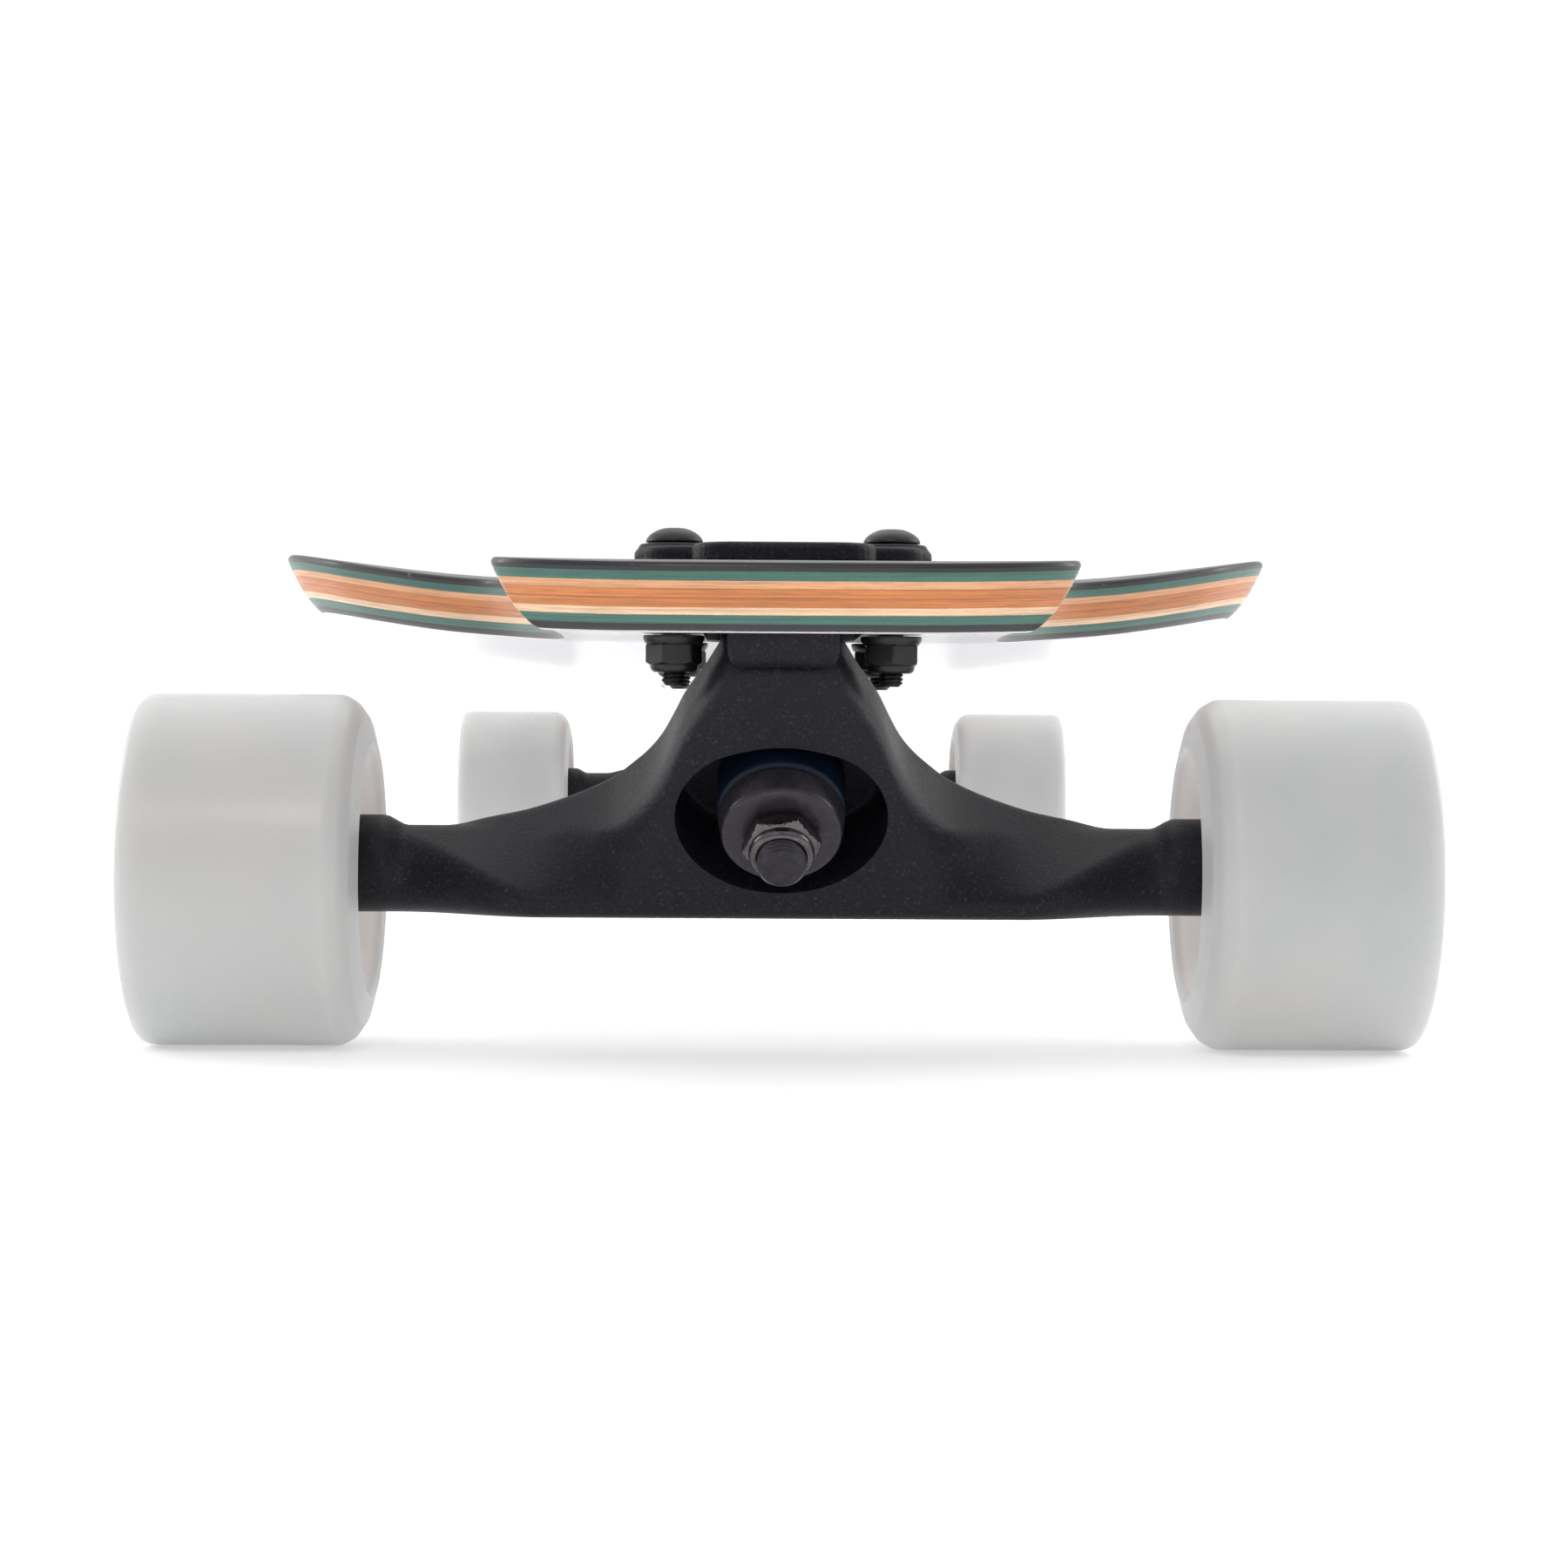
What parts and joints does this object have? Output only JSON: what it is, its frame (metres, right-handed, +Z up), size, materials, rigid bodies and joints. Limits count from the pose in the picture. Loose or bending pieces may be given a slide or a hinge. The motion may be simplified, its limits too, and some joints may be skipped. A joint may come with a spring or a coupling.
{
  "type": "skateboard",
  "caption": "Drop-through longboard skateboard: flared laminated deck, steering reverse-kingpin trucks and milky urethane wheels on bearings.",
  "frame": {"origin": "on the ground under the middle of the board", "axes": "+X across the board, +Y along it away from the front truck, +Z up"},
  "size_m": [0.2536, 0.937, 0.104],
  "materials": {
    "deck_plies": "eight-ply maple with dyed black and green plies, clear lacquered",
    "black_cast_metal": "matte black powder coat with fine grain",
    "dark_steel": "dark oxide",
    "black_bolt_steel": "black oxide",
    "zinc_steel": "zinc plated",
    "wheel_urethane": "milky translucent cast urethane",
    "bushing_urethane": "dark blue cast urethane",
    "pivot_cup_plastic": "moulded black",
    "bearing_steel": "polished shields"
  },
  "bodies": {
    "deck_body": {"deck": "deck_plies", "front_baseplate": "black_cast_metal", "front_kingpin": "dark_steel", "front_kingpin_nut": "dark_steel", "front_pivot_cup": "pivot_cup_plastic", "front_bushing_road": "bushing_urethane", "front_bushing_board": "bushing_urethane", "front_cup_washer_road": "dark_steel", "front_cup_washer_board": "dark_steel", "front_bolt_1": "black_bolt_steel", "front_bolt_2": "black_bolt_steel", "front_bolt_3": "black_bolt_steel", "front_bolt_4": "black_bolt_steel", "front_bolt_nut_1": "black_bolt_steel", "front_bolt_nut_2": "black_bolt_steel", "front_bolt_nut_3": "black_bolt_steel", "front_bolt_nut_4": "black_bolt_steel", "rear_baseplate": "black_cast_metal", "rear_kingpin": "dark_steel", "rear_kingpin_nut": "dark_steel", "rear_pivot_cup": "pivot_cup_plastic", "rear_bushing_road": "bushing_urethane", "rear_bushing_board": "bushing_urethane", "rear_cup_washer_road": "dark_steel", "rear_cup_washer_board": "dark_steel", "rear_bolt_1": "black_bolt_steel", "rear_bolt_2": "black_bolt_steel", "rear_bolt_3": "black_bolt_steel", "rear_bolt_4": "black_bolt_steel", "rear_bolt_nut_1": "black_bolt_steel", "rear_bolt_nut_2": "black_bolt_steel", "rear_bolt_nut_3": "black_bolt_steel", "rear_bolt_nut_4": "black_bolt_steel"},
    "front_hanger_body": {"front_hanger": "black_cast_metal", "front_axle": "zinc_steel", "front_left_speed_washer": "zinc_steel", "front_left_axle_nut": "zinc_steel", "front_right_speed_washer": "zinc_steel", "front_right_axle_nut": "zinc_steel"},
    "front_left_wheel_body": {"front_left_wheel": "wheel_urethane", "front_left_inner_bearing": "bearing_steel", "front_left_outer_bearing": "bearing_steel"},
    "front_right_wheel_body": {"front_right_wheel": "wheel_urethane", "front_right_inner_bearing": "bearing_steel", "front_right_outer_bearing": "bearing_steel"},
    "rear_hanger_body": {"rear_hanger": "black_cast_metal", "rear_axle": "zinc_steel", "rear_left_speed_washer": "zinc_steel", "rear_left_axle_nut": "zinc_steel", "rear_right_speed_washer": "zinc_steel", "rear_right_axle_nut": "zinc_steel"},
    "rear_left_wheel_body": {"rear_left_wheel": "wheel_urethane", "rear_left_inner_bearing": "bearing_steel", "rear_left_outer_bearing": "bearing_steel"},
    "rear_right_wheel_body": {"rear_right_wheel": "wheel_urethane", "rear_right_inner_bearing": "bearing_steel", "rear_right_outer_bearing": "bearing_steel"}
  },
  "joints": [
    {"name": "front_steer", "type": "hinge", "parent": "deck_body", "child": "front_hanger_body", "pos_m": [0, -0.3675, 0.035], "axis": [0, -0.6428, 0.766], "range_deg": [-14, 14], "stiffness_Nm_per_rad": 60, "deforming": ["front_bushing_road", "front_bushing_board"]},
    {"name": "front_left_spin", "type": "hinge", "parent": "front_hanger_body", "child": "front_left_wheel_body", "pos_m": [0, -0.3675, 0.035], "axis": [1, 0, 0], "continuous": true},
    {"name": "front_right_spin", "type": "hinge", "parent": "front_hanger_body", "child": "front_right_wheel_body", "pos_m": [0, -0.3675, 0.035], "axis": [1, 0, 0], "continuous": true},
    {"name": "rear_steer", "type": "hinge", "parent": "deck_body", "child": "rear_hanger_body", "pos_m": [0, 0.3675, 0.035], "axis": [0, 0.6428, 0.766], "range_deg": [-14, 14], "stiffness_Nm_per_rad": 60, "deforming": ["rear_bushing_road", "rear_bushing_board"]},
    {"name": "rear_left_spin", "type": "hinge", "parent": "rear_hanger_body", "child": "rear_left_wheel_body", "pos_m": [0, 0.3675, 0.035], "axis": [1, 0, 0], "continuous": true},
    {"name": "rear_right_spin", "type": "hinge", "parent": "rear_hanger_body", "child": "rear_right_wheel_body", "pos_m": [0, 0.3675, 0.035], "axis": [1, 0, 0], "continuous": true}
  ]
}
